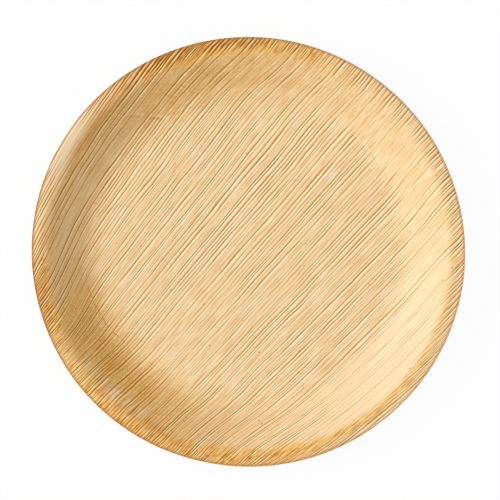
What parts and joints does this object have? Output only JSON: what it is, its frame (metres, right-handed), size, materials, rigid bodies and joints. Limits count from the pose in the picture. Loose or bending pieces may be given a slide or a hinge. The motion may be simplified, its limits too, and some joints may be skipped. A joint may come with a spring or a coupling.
{
  "type": "palm leaf plate",
  "caption": "Round disposable dinner plate pressed from one piece of ribbed palm leaf sheath, with a flat floor, a sloping wall and a narrow turned-over lip.",
  "frame": {"origin": "middle of the flat underside of the floor, which is level at z = 0", "axes": "+Z up out of the dish; +X to the right and +Y upwards in the picture, which looks down on the plate; the leaf's ribs run 49 degrees from +X"},
  "size_m": [0.25, 0.25, 0.02],
  "materials": {
    "palm_leaf": "natural, unfinished, faintly satin"
  },
  "bodies": {
    "root": {"plate": "palm_leaf"}
  },
  "joints": []
}
